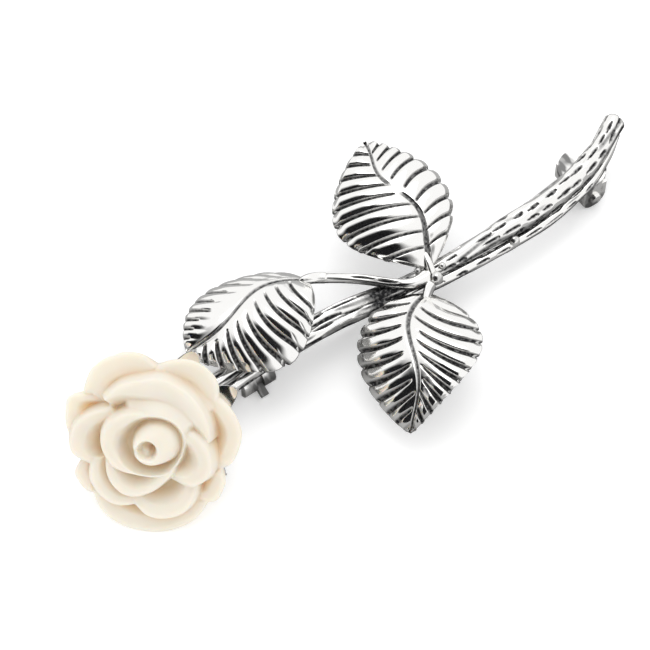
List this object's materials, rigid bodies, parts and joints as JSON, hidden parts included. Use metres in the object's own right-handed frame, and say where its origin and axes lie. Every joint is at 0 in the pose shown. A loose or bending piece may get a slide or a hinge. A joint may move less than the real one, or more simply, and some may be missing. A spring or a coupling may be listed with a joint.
{
  "type": "flower brooch",
  "caption": "Rose brooch on a leafy twig: a carved cream flower in a sepal cup, scalloped leaves on a notched stem, and a hinged pin with a turning safety catch on the back.",
  "frame": {"origin": "centre of the whole brooch's box, on the plane that its back rests on", "axes": "+X runs along the closed pin from the catch to the joint at the stem's cut end, +Y towards the upper leaf, +Z away from the clothes"},
  "size_m": [0.0816, 0.0338, 0.0155],
  "materials": {
    "rose_stone": "satin",
    "oxidised_silver": "polished, with black oxide left in the grooves",
    "fitting_silver": "polished, a little duller than the front"
  },
  "bodies": {
    "brooch": {"rose_head": "rose_stone", "rose_peg": "fitting_silver", "sepal_star": "oxidised_silver", "calyx_hip": "oxidised_silver", "main_stem": "oxidised_silver", "twin_twig": "oxidised_silver", "twig_thorn": "oxidised_silver", "leaf_branch": "oxidised_silver", "left_leaf": "oxidised_silver", "left_leaf_collar": "oxidised_silver", "upper_leaf": "oxidised_silver", "upper_leaf_stalk": "oxidised_silver", "lower_leaf": "oxidised_silver", "lower_leaf_stalk": "oxidised_silver", "fork_beads": "oxidised_silver", "catch_base": "fitting_silver", "catch_case": "fitting_silver", "hinge_saddle": "fitting_silver", "hinge_rivet": "fitting_silver"},
    "pin": {"pin_stem": "fitting_silver"},
    "tumbler": {"catch_tumbler": "fitting_silver"}
  },
  "joints": [
    {"name": "pin_swing", "type": "hinge", "parent": "brooch", "child": "pin", "pos_m": [0.03268, 0.00103, 0.0017], "axis": [0, -1, 0], "range_deg": [0, 80]},
    {"name": "catch_turn", "type": "hinge", "parent": "brooch", "child": "tumbler", "pos_m": [-0.01552, 0.00103, 0.0017], "axis": [-1, 0, 0], "range_deg": [0, 70]}
  ]
}
